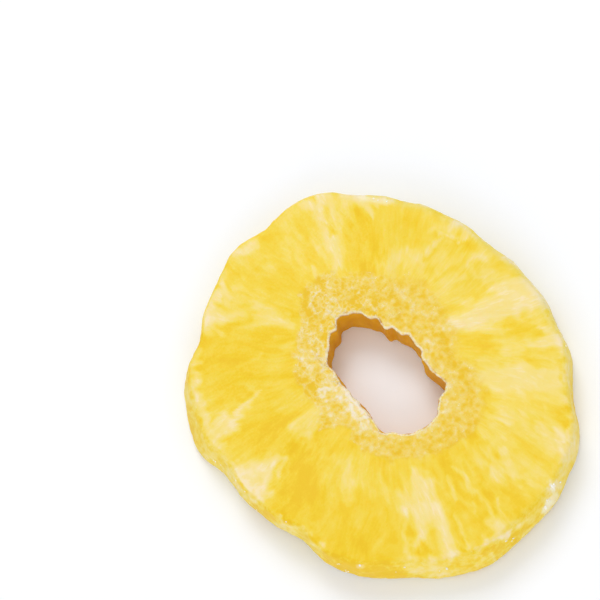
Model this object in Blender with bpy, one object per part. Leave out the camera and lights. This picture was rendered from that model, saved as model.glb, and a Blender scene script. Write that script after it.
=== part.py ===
"""Dried pineapple ring: one thick slice of sweetened fruit with the core cut out, lying flat.

The slice is one solid. A rounded section is spun into a plain ring, and every point is then moved
to where the dried fruit has it: an uneven oval rim trimmed in shallow scallops, a ragged hole off
the middle, a wall that leans outwards, a crumbly band round the hole, radial furrows between the
fruitlets, and an edge that has curled a little off the table.
Units are metres. +Z is up, +Y runs along the longer side and z = 0 is the table.
"""

import math

import bmesh
import bpy
from mathutils import Vector, noise

MM = 0.001

# Driving dimensions of the slice
RING_LENGTH = 82.0 * MM
RING_WIDTH = 70.4 * MM
THICKNESS = 8.0 * MM
HOLE_LENGTH = 27.0 * MM
HOLE_WIDTH = 15.6 * MM
HOLE_CENTRE = Vector((0.9, 0.9, 0.0)) * MM
EDGE_ROUND = 1.1 * MM

# The plain ring that is spun before it is shaped
SPUN_HOLE = 10.0 * MM
SPUN_RIM = 38.0 * MM
COLUMNS = 128
EDGE_SEGMENTS = 3
TOP_ROWS = 20
BOTTOM_ROWS = 7
RIM_ROWS = 4
BORE_ROWS = 3
ROW_BIAS = 1.5

# Each lobe is (angle in degrees, height in millimetres, half width in degrees)
RIM_LOBES = (
    (9, -0.6, 7),
    (22, -0.5, 16),
    (40, 0.3, 12),
    (43, -0.7, 4),
    (54, 0.3, 6),
    (60, -0.5, 5),
    (72, 2.2, 12),
    (88, -0.9, 6),
    (99, 1.3, 8),
    (120, 0.3, 8),
    (127, -0.8, 6),
    (140, 3.6, 13),
    (149, 0.9, 6),
    (159, 3.4, 10),
    (181, 0.8, 8),
    (200, 0.6, 4),
    (202, -1.2, 7),
    (220, 1.4, 10),
    (245, 0.6, 4),
    (258, 0.9, 10),
    (287, 0.2, 6),
    (296, 0.4, 4),
    (302, 0.6, 7),
    (309, -0.5, 4),
    (315, -1.0, 7),
)
HOLE_LOBES = (
    (30, -0.7, 10),
    (48, -1.9, 7),
    (64, -1.0, 7),
    (77, -0.3, 7),
    (91, 0.4, 5),
    (99, -0.9, 4),
    (130, 1.2, 14),
    (230, 2.5, 12),
    (250, 1.8, 14),
    (272, 0.7, 12),
    (300, 1.9, 8),
    (307, 0.8, 4),
    (327, -0.9, 9),
)
# How far the top edge stands in from the widest outline, where the wall leans most
RIM_LEAN = 1.0 * MM
LEAN_LOBES = (
    (152, 2.6, 18),
    (255, 0.9, 26),
)
# Where the rim has curled up off the table
LIFT_LOBES = (
    (28, 1.5, 34),
    (205, 0.9, 26),
    (290, 0.6, 22),
)
THICKNESS_LOBES = (
    (80, 0.5, 40),
    (175, -0.5, 45),
    (265, 0.4, 40),
)
LIFT_START = 0.35
# The underside is pressed flat by this much, so that it rests on broad flat patches
RESTING_DEPTH = 0.16 * MM

# Relief
SCALLOP_DEPTH = 0.18 * MM
SCALLOP_COUNT = 17
HOLE_CRAG = 0.42 * MM
HOLE_CRAG_PITCH = 1.7 * MM
CRUST_WIDTH = 6.8 * MM
CRUST_LUMP = 2.2 * MM
CRUST_HEIGHT = 0.9 * MM
FURROW_DEPTH = 0.42 * MM
FURROW_PITCH = 3.4 * MM
FURROW_RUN = 22.0 * MM
SWELL_HEIGHT = 0.45 * MM
SWELL_PITCH = 16.0 * MM
WALL_BUMP = 0.40 * MM
WALL_BUMP_PITCH = 4.2 * MM

FLESH_COLOUR = (0.90, 0.62, 0.035, 1.0)
FLESH_ROUGHNESS = 0.45


def clear_scene():
    for obj in list(bpy.data.objects):
        bpy.data.objects.remove(obj)


def smooth_step(low, high, value):
    share = min(1.0, max(0.0, (value - low) / (high - low)))
    return share * share * (3.0 - 2.0 * share)


def lobes(table, angle):
    """Sum of the table's lobes at an angle in radians, in metres."""
    total = 0.0
    for centre, height, half_width in table:
        apart = (math.degrees(angle) - centre + 180.0) % 360.0 - 180.0
        total += height * MM * math.exp(-((apart / half_width) ** 2))
    return total


def oval(length_x, length_y, angle):
    """Radius of an ellipse with those two axes at an angle."""
    half_x = length_x / 2
    half_y = length_y / 2
    return half_x * half_y / math.hypot(half_y * math.cos(angle), half_x * math.sin(angle))


def direction(angle):
    return Vector((math.cos(angle), math.sin(angle), 0.0))


def rim_point(angle):
    """Widest outline of the slice, with the shallow cuts left by trimming the skin."""
    radius = oval(RING_WIDTH, RING_LENGTH, angle) + lobes(RIM_LOBES, angle)
    scallop = math.sin(SCALLOP_COUNT * angle + 2.0 * math.sin(2.0 * angle))
    return direction(angle) * (radius + SCALLOP_DEPTH * scallop)


def hole_point(angle, height):
    """Ragged edge of the hole, which wanders a little through the thickness."""
    radius = oval(HOLE_WIDTH, HOLE_LENGTH, angle) + lobes(HOLE_LOBES, angle)
    at = direction(angle) * radius + Vector((0.0, 0.0, height * 0.6))
    crag = noise.noise(at / HOLE_CRAG_PITCH) + 0.5 * noise.noise(at * 2.3 / HOLE_CRAG_PITCH)
    return HOLE_CENTRE + direction(angle) * (radius + HOLE_CRAG * crag)


def crust_share(at, from_hole):
    """1 in the crumbly band round the hole and 0 in the flesh, with a lobed border."""
    border = CRUST_WIDTH * (1.0 + 0.35 * noise.noise(at / (5.0 * MM)))
    return 1.0 - smooth_step(0.75 * border, 1.1 * border, from_hole)


def crust_relief(at):
    """Rounded crumbs with pits between them."""
    nearest = noise.voronoi(at / CRUST_LUMP)[0]
    crumb = 0.5 - nearest[0]
    return CRUST_HEIGHT * (crumb + 0.35 * noise.noise(at / (0.7 * CRUST_LUMP)))


def furrow_relief(at, angle, from_hole):
    """Long hollows that run out from the hole between the fruitlets' fibres."""
    turn = angle + 0.10 * noise.noise(at / (14.0 * MM))
    round_the_slice = direction(turn) * (SPUN_RIM * 0.6 / FURROW_PITCH)
    fibre = noise.noise(round_the_slice + Vector((0.0, 0.0, from_hole / FURROW_RUN)))
    return FURROW_DEPTH * fibre * smooth_step(0.3 * CRUST_WIDTH, 1.6 * CRUST_WIDTH, from_hole)


def row_share(radius, bias):
    """How far a spun point lies from the inner rounding to the outer one, 0 to 1."""
    inner = SPUN_HOLE + EDGE_ROUND
    outer = SPUN_RIM - EDGE_ROUND
    return min(1.0, max(0.0, (radius - inner) / (outer - inner))) ** bias


def shaped(spun):
    """Where a point of the plain spun ring lies on the dried slice."""
    angle = math.atan2(spun.y, spun.x)
    radius = math.hypot(spun.x, spun.y)
    level = spun.z / THICKNESS
    outwards = direction(angle)

    hole = hole_point(angle, spun.z)
    rim = rim_point(angle)
    share = row_share(radius, ROW_BIAS)
    inner = hole + outwards * min(EDGE_ROUND, radius - SPUN_HOLE)
    outer = rim - outwards * min(EDGE_ROUND, SPUN_RIM - radius)
    at = inner.lerp(outer, share)
    from_hole = (at - hole).length
    near_rim = smooth_step(0.70, 1.0, share)
    near_hole = 1.0 - smooth_step(0.0, 0.05, share)
    mid_wall = 1.0 - (2.0 * level - 1.0) ** 2

    lean = RIM_LEAN + lobes(LEAN_LOBES, angle)
    wall = noise.noise((at + Vector((0.0, 0.0, spun.z))) / WALL_BUMP_PITCH)
    at -= outwards * near_rim * lean * level ** 1.3
    at += outwards * WALL_BUMP * wall * (near_rim + near_hole) * mid_wall

    top = smooth_step(0.55, 1.0, level)
    bottom = 1.0 - smooth_step(0.0, 0.45, level)
    swell = SWELL_HEIGHT * noise.noise(Vector((at.x, at.y, 0.0)) / SWELL_PITCH)
    crust = crust_share(at, from_hole)
    edge_fade = 1.0 - 0.6 * near_rim
    furrow = furrow_relief(at, angle, from_hole)
    relief_top = swell + edge_fade * (crust * crust_relief(at) + (1.0 - crust) * furrow)
    relief_under = abs(swell) + 0.8 * edge_fade * abs(furrow)

    lift = lobes(LIFT_LOBES, angle) * smooth_step(LIFT_START, 1.0, share)
    height = level * (THICKNESS + lobes(THICKNESS_LOBES, angle))
    height += lift + top * relief_top + bottom * (relief_under - RESTING_DEPTH)
    return Vector((at.x, at.y, max(0.0, height)))


def spun_ring(shell):
    """A plain ring with rounded edges: a bevelled rectangle, spun once round Z."""
    corners = [
        shell.verts.new((radius, 0.0, z))
        for radius, z in (
            (SPUN_HOLE, 0.0),
            (SPUN_RIM, 0.0),
            (SPUN_RIM, THICKNESS),
            (SPUN_HOLE, THICKNESS),
        )
    ]
    section = shell.faces.new(corners)
    bmesh.ops.bevel(
        shell,
        geom=list(section.verts),
        offset=EDGE_ROUND,
        segments=EDGE_SEGMENTS,
        profile=0.5,
        affect="VERTICES",
    )
    for level, rows in ((0.0, BOTTOM_ROWS), (THICKNESS, TOP_ROWS)):
        split_long_edge(shell, "z", level, rows)
    for radius, rows in ((SPUN_HOLE, BORE_ROWS), (SPUN_RIM, RIM_ROWS)):
        split_long_edge(shell, "x", radius, rows)
    bmesh.ops.delete(shell, geom=list(shell.faces), context="FACES_ONLY")
    bmesh.ops.spin(
        shell,
        geom=list(shell.verts) + list(shell.edges),
        cent=(0.0, 0.0, 0.0),
        axis=(0.0, 0.0, 1.0),
        angle=math.tau,
        steps=COLUMNS,
        use_merge=True,
    )
    bmesh.ops.remove_doubles(shell, verts=list(shell.verts), dist=0.001 * MM)


def split_long_edge(shell, axis, value, rows):
    """Divides the section's straight edge at that radius or height into rows."""
    near = 0.001 * MM
    edges = [
        edge
        for edge in shell.edges
        if all(abs(getattr(vert.co, axis) - value) < near for vert in edge.verts)
    ]
    bmesh.ops.subdivide_edges(shell, edges=edges, cuts=rows - 1)


def centre_on_table(shell):
    """Puts the middle of the outline's box at x = y = 0 and the lowest point at z = 0."""
    lowest = [min(vert.co[axis] for vert in shell.verts) for axis in range(3)]
    highest = [max(vert.co[axis] for vert in shell.verts) for axis in range(3)]
    middle = Vector(
        (
            (lowest[0] + highest[0]) / 2,
            (lowest[1] + highest[1]) / 2,
            lowest[2],
        )
    )
    bmesh.ops.translate(shell, verts=list(shell.verts), vec=-middle)


def flesh_material():
    """Sugared pineapple flesh: saturated yellow with a satin surface."""
    material = bpy.data.materials.new("dried_pineapple_flesh")
    material.use_nodes = True
    shader = material.node_tree.nodes["Principled BSDF"]
    shader.inputs["Base Color"].default_value = FLESH_COLOUR
    shader.inputs["Roughness"].default_value = FLESH_ROUGHNESS
    shader.inputs["Metallic"].default_value = 0.0
    return material


def pineapple_ring():
    shell = bmesh.new()
    spun_ring(shell)
    for vert in shell.verts:
        vert.co = shaped(vert.co)
    centre_on_table(shell)
    bmesh.ops.recalc_face_normals(shell, faces=list(shell.faces))
    mesh = bpy.data.meshes.new("pineapple_ring")
    shell.to_mesh(mesh)
    shell.free()
    mesh.shade_smooth()
    mesh.materials.append(flesh_material())
    ring = bpy.data.objects.new("pineapple_ring", mesh)
    bpy.context.scene.collection.objects.link(ring)
    return ring


clear_scene()
pineapple_ring()
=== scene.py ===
"""Looks of the dried pineapple ring: a sugared slice that lies flat on a pale studio table.

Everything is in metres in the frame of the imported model, +Z up and z = 0 on the table.
"""

import math

import bpy
import numpy as np
from mathutils import Matrix, Vector, noise


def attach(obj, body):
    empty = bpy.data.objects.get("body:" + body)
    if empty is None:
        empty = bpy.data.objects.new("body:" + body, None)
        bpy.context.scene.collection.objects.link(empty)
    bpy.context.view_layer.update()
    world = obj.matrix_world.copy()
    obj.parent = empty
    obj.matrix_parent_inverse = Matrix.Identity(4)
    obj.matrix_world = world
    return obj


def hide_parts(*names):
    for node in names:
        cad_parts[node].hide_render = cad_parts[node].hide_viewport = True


MM = 0.001
PICTURE = 600

# Camera: how it stands over the slice
CAMERA_HEIGHT_DEG = 67.0
CAMERA_SIDE_DEG = -105.0
CAMERA_ROLL_DEG = 25.0
LENS_MM = 120.0
SENSOR_MM = 36.0
PIXELS_PER_MM = 5.1
SLICE_PIXEL = (379.9, 383.2)
SLICE_MIDDLE = Vector((0.0, 0.0, 4.0)) * MM

# The slice: where its hole is, and the point that its fibres fan out from
HOLE_MIDDLE = Vector((1.9, 0.5, 0.0)) * MM
FIBRE_MIDDLE = Vector((4.7, 4.1, 0.0)) * MM
FIBRE_ARC_MM = 25.0
FIBRE_SWAY = 0.08
FIBRE_SWAY_PITCH = 11.0 * MM
# How far the wall of the hole and the wall of the rim reach over the slice, and where the lip of the hole is
# looked for: how far from the hole, and how far below the top
BORE_REACH_MM = 1.5
RIM_WALL_REACH_MM = 6.0
LIP_REACH_MM = 4.0
LIP_DROP_MM = 0.6
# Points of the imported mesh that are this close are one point
WELD = 0.002 * MM

# The table is a little lower than the slice, so that no two surfaces lie in the same place
TABLE_DROP = 0.02 * MM
TABLE_SIZE = 3.0

# How dry the flesh is, from 0 for wet gold to 1 for dry cream
PLAIN_DRYNESS = 0.38
# The sunny side of the picture, in degrees, where the rim is painted palest as painted light
RIM_LIT_SIDE_DEG = 42.0
# The side where the rim's edge gets a greyer strip of painted shade, where the edge rounds over
RIM_SHADE_SIDE_DEG = 58.0
# Ragged edges as (size of the lumps, how far they push) in picture pixels, and the same along the fibres
# as (width of a bundle in mm, how far it pushes in picture pixels)
PATCH_FRAYING = ((16.0, 2.2), (6.0, 0.5))
BUNDLE_FRAYING = ((1.8, 3.0), (0.8, 3.0))

# A stroke of paint is whole up to a share of its half width, and gone at another share and some pixels.
# Where strokes add up to their full cover, the next adds that much less.
STROKE_WHOLE = 0.5
STROKE_GONE = 1.25
STROKE_BLUR = 0.8
FULL_COVER = 0.5
OVERLAP_LOSS = 0.7

# Dry streaks, painted as strokes in picture pixels: (start x, start y, end x, end y, width, dryness that it
# adds in hundredths), or with a second width after the first for the end of a tapered one
DRY_STROKES = (
    (324, 205, 337, 268, 24, 12, 32), (318, 200, 330, 235, 10, 16), (304, 204, 316, 204, 10, 8, 26),
    (345, 197, 354, 218, 18, 8, 26), (330, 238, 335, 258, 12, 8, 8), (360, 198, 370, 210, 14, 10, 46),
    (376, 200, 392, 203, 9, 25), (385, 262, 470, 250, 16, 30, 10), (395, 252, 440, 290, 14, 20, 10),
    (432, 284, 464, 274, 8, 16), (478, 270, 502, 277, 14, 18), (462, 219, 466, 235, 8, 20),
    (440, 232, 466, 240, 4, 3, 34), (424, 252, 441, 238, 4, 26), (536, 290, 456, 325, 32, 20, 36),
    (520, 279, 490, 290, 8, 10, 26), (440, 324, 516, 318, 10, 12, 22), (505, 283, 545, 300, 16, 22, 10),
    (555, 374, 486, 380, 36, 26, 30), (494, 390, 520, 392, 8, 12), (496, 352, 518, 352, 12, 14),
    (540, 344, 560, 340, 9, 32), (568, 345, 571, 395, 10, 12, 14), (548, 390, 560, 402, 12, 16),
    (540, 405, 492, 404, 20, 10), (492, 416, 508, 424, 6, 22), (510, 420, 550, 450, 20, 14, 14),
    (540, 428, 560, 431, 10, 24), (562, 433, 565, 462, 14, 9, 24), (559, 428, 565, 439, 4, 3, 22),
    (572, 429, 566, 440, 4, 3, 20), (545, 436, 560, 446, 12, 14), (566, 446, 561, 484, 7, 5, 12),
    (466, 440, 489, 478, 10, 12), (478, 425, 540, 470, 20, 13), (502, 450, 512, 464, 8, 28),
    (505, 462, 540, 488, 8, 18), (480, 460, 500, 478, 5, 6, 14), (429, 474, 440, 506, 4, 5, 26),
    (447, 476, 457, 499, 5, 4, 38), (453, 464, 475, 491, 4, 6, 36), (480, 493, 491, 511, 4, 5, 30),
    (499, 497, 510, 524, 2, 3, 24), (457, 519, 468, 547, 3, 4, 36), (490, 520, 504, 534, 14, 10, 50),
    (484, 546, 510, 528, 6, 8, 30), (524, 490, 530, 512, 10, 12), (556, 480, 549, 491, 8, 7, 12),
    (556, 495, 545, 511, 9, 8, 34), (471, 500, 473, 510, 3, 4, 26), (414, 474, 422, 508, 12, 26, 34),
    (398, 494, 404, 514, 8, 12, 18), (420, 506, 422, 540, 16, 9, 30), (430, 486, 437, 526, 10, 9, 16),
    (436, 505, 454, 552, 9, 42), (440, 530, 450, 560, 10, 20), (405, 512, 403, 552, 6, 3, 28),
    (410, 548, 412, 570, 10, 12, 42), (410, 569, 446, 571, 14, 13, 52), (442, 565, 458, 552, 10, 8, 40),
    (344, 460, 348, 500, 20, 16, 24), (383, 474, 387, 498, 6, 5, 16), (243, 474, 258, 496, 20, 14, 46),
    (256, 466, 262, 490, 18, 12, 36), (272, 466, 262, 490, 8, 34), (284, 458, 276, 480, 4, 34),
    (250, 500, 264, 505, 6, 26), (226, 462, 236, 478, 10, 28), (203, 408, 208, 428, 10, 12, 34),
    (206, 446, 222, 448, 10, 26), (212, 436, 226, 418, 12, 30), (228, 430, 240, 414, 10, 7, 34),
    (238, 410, 258, 393, 5, 3, 40), (296, 426, 330, 410, 12, 18, 26), (304, 432, 312, 444, 8, 18),
    (205, 312, 292, 324, 16, 9, 22), (256, 307, 284, 318, 9, 10, 20), (222, 296, 262, 306, 12, 10, 20),
    (205, 300, 206, 332, 12, 14, 30), (212, 316, 220, 334, 10, 9, 28), (212, 303, 222, 286, 9, 26),
    (226, 302, 240, 312, 8, 14), (197, 348, 195, 412, 7, 8, 26), (239, 252, 256, 243, 10, 34),
    (208, 300, 228, 272, 10, 8, 16), (238, 288, 268, 300, 6, 5, 20), (286, 240, 284, 264, 8, 12),
    (287, 242, 314, 270, 6, 5, 12), (300, 214, 320, 252, 5, 12), (240, 366, 262, 353, 3, 16),
    (302, 534, 318, 558, 9, 7, 20), (276, 524, 292, 530, 6, 20), (240, 258, 285, 262, 20, 7),
    (524, 300, 562, 352, 10, 8, 12), (278, 458, 262, 468, 8, 10, 28), (243, 482, 250, 494, 6, 28),
    (240, 462, 250, 468, 8, 14), (340, 206, 343, 270, 4, 14), (280, 240, 286, 256, 10, 8, 10),
    (434, 230, 456, 224, 8, 26), (466, 303, 472, 298, 10, 18), (454, 332, 498, 327, 5, 6, 22),
    (506, 342, 534, 341, 9, 20), (540, 328, 552, 332, 8, 16), (492, 472, 504, 480, 10, 8, 24),
    (514, 477, 524, 481, 6, 10), (574, 440, 573, 468, 8, 26), (434, 562, 442, 566, 8, 20),
    (434, 520, 438, 528, 6, 14), (484, 538, 490, 545, 6, 14), (312, 538, 322, 546, 8, 18),
    (282, 526, 296, 533, 6, 22), (495, 288, 520, 297, 8, 14), (222, 282, 226, 292, 8, 16),
    (218, 316, 226, 322, 8, 10), (192, 384, 192, 404, 6, 30), (292, 428, 297, 442, 8, 14),
    (500, 414, 555, 420, 12, 8), (500, 412, 560, 424, 20, 6), (400, 262, 480, 262, 30, 40, 5),
    (268, 380, 292, 386, 14, 8), (288, 344, 296, 350, 7, 12), (410, 252, 420, 260, 8, 14),
    (384, 262, 392, 278, 9, 10, 10), (478, 254, 488, 258, 9, 14), (482, 278, 492, 282, 8, 14),
    (492, 290, 504, 290, 8, 8), (242, 484, 250, 498, 6, 20), (280, 528, 296, 534, 6, 22),
    (312, 536, 320, 544, 7, 14), (448, 554, 456, 560, 9, 22), (470, 566, 482, 568, 6, 16),
    (406, 494, 409, 506, 5, 12), (418, 525, 421, 535, 6, 12), (498, 524, 512, 532, 8, 10),
    (546, 508, 552, 500, 7, 20), (248, 326, 260, 328, 7, 14), (262, 305, 272, 308, 7, 10),
    (208, 446, 218, 456, 8, 16), (548, 420, 562, 428, 9, 12), (510, 348, 522, 352, 9, 8, 12),
    (308, 206, 314, 212, 7, 14), (362, 206, 366, 214, 6, 14), (494, 470, 512, 476, 8, 14),
    (473, 570, 494, 560, 3, 40), (494, 560, 515, 544, 3, 40), (515, 544, 536, 527, 3, 36),
    (536, 527, 556, 504, 3, 30), (446, 575, 473, 570, 3, 30), (206, 452, 226, 474, 6, 30),
    (226, 474, 248, 498, 6, 34), (276, 522, 296, 536, 6, 34), (545, 512, 552, 502, 6, 24),
    (438, 560, 458, 552, 6, 16), (430, 574, 442, 574, 5, 24), (572, 444, 576, 460, 6, 26),
    (286, 344, 298, 340, 6, 16), (316, 270, 322, 286, 6, 18), (186, 384, 192, 400, 7, 30),
    (360, 520, 374, 546, 18, 7), (478, 328, 504, 332, 5, 18), (244, 245, 252, 240, 7, 20),
    (508, 258, 514, 262, 6, 20), (240, 394, 252, 408, 5, 14), (212, 414, 232, 414, 4, 14),
    (232, 424, 238, 430, 7, 14), (246, 456, 256, 470, 8, 14), (284, 460, 288, 480, 5, 14),
    (490, 476, 504, 484, 7, 12), (404, 492, 408, 510, 5, 10), (424, 488, 432, 500, 6, 12),
    (530, 476, 544, 480, 6, 12), (448, 300, 474, 304, 8, 8), (492, 290, 502, 294, 6, 12),
    (484, 541, 500, 536, 8, 18), (410, 573, 434, 574, 8, 40), (521, 308, 528, 312, 9, 28),
    (472, 262, 482, 257, 7, 20), (452, 230, 460, 226, 8, 20), (450, 266, 458, 260, 7, 12),
    (234, 422, 240, 426, 8, 22), (214, 442, 222, 436, 8, 22), (290, 440, 298, 432, 7, 14),
    (306, 442, 314, 426, 7, 16), (260, 462, 268, 456, 7, 14), (212, 322, 232, 314, 8, 16),
    (192, 366, 200, 360, 7, 24), (308, 200, 316, 198, 8, 22), (545, 511, 553, 500, 6, 26),
    (312, 538, 320, 544, 7, 20), (486, 450, 512, 482, 7, 12), (524, 428, 548, 446, 8, 10),
    (556, 460, 576, 456, 8, 14), (504, 398, 556, 396, 8, 8), (478, 360, 492, 362, 8, 12),
    (440, 334, 500, 334, 5, 12), (284, 350, 298, 340, 6, 14), (264, 390, 286, 382, 8, 8),
    (206, 456, 228, 478, 4, 22), (240, 482, 250, 498, 4, 22), (512, 528, 520, 524, 5, 16),
    (524, 336, 548, 328, 6, 12), (212, 288, 218, 296, 8, 12), (270, 244, 284, 250, 12, 8),
    (416, 488, 432, 492, 9, 10), (432, 278, 440, 272, 6, 10), (504, 348, 512, 356, 7, 10),
    (522, 394, 514, 402, 8, 8), (466, 402, 474, 408, 7, 10), (262, 500, 270, 492, 5, 16),
    (312, 541, 319, 538, 6, 30), (545, 512, 553, 501, 6, 20), (314, 262, 320, 284, 6, 14),
    (284, 352, 297, 341, 6, 14), (298, 440, 312, 430, 8, 14), (266, 394, 290, 388, 6, 12),
    (243, 412, 250, 406, 6, 14), (322, 454, 332, 456, 7, 12), (490, 424, 506, 432, 6, 12),
    (488, 452, 514, 478, 6, 10), (500, 514, 508, 530, 7, 18), (546, 430, 556, 440, 8, 14),
    (536, 444, 552, 452, 6, 12), (526, 416, 536, 420, 7, 12), (558, 464, 576, 458, 6, 18),
    (478, 506, 486, 516, 7, 12), (522, 508, 532, 512, 7, 12), (414, 544, 424, 540, 6, 16),
    (404, 512, 410, 536, 6, 8), (212, 322, 226, 324, 7, 14), (252, 328, 260, 328, 6, 12),
    (192, 368, 200, 362, 6, 16), (204, 454, 228, 480, 5, 26), (238, 480, 252, 498, 5, 28),
    (282, 526, 294, 533, 5, 26), (488, 546, 500, 540, 5, 16), (444, 336, 454, 332, 6, 12),
    (484, 334, 500, 338, 7, 12), (414, 262, 424, 258, 7, 10), (462, 306, 474, 300, 8, 8),
    (532, 340, 546, 334, 7, 12), (410, 516, 416, 524, 7, 8), (454, 490, 466, 502, 6, 10),
    (312, 541, 318, 538, 6, 24), (208, 458, 231, 483, 5, 24), (240, 482, 255, 500, 5, 26),
    (264, 500, 271, 489, 5, 18), (484, 545, 500, 538, 6, 22), (498, 524, 508, 534, 8, 14),
    (248, 388, 255, 397, 6, 20), (419, 542, 424, 552, 7, 20), (450, 558, 461, 560, 7, 16),
    (513, 466, 520, 486, 8, 14), (563, 350, 569, 361, 7, 16), (558, 464, 578, 458, 6, 16),
    (307, 444, 312, 438, 7, 14), (260, 478, 273, 462, 8, 12), (284, 481, 288, 462, 5, 14),
    (233, 420, 240, 427, 7, 14), (410, 198, 424, 203, 8, 18), (490, 404, 497, 412, 8, 12),
    (272, 362, 296, 350, 12, 8, 8), (364, 520, 372, 545, 18, 14, 7), (318, 246, 325, 262, 6, 10),
    (480, 364, 492, 366, 7, 12), (470, 382, 476, 396, 9, 8), (524, 310, 530, 314, 8, 12),
    (478, 260, 484, 258, 6, 14), (240, 246, 250, 252, 9, 10), (430, 488, 426, 500, 8, 8),
)
# Dry edge where the top turns down into the wall, in the same way
EDGE_STROKES = (
    (474, 549, 489, 545, 2, 5, 30), (489, 545, 508, 534, 5, 42), (508, 534, 522, 525, 5, 4, 38),
    (522, 525, 539, 511, 4, 3, 32),
)
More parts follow.
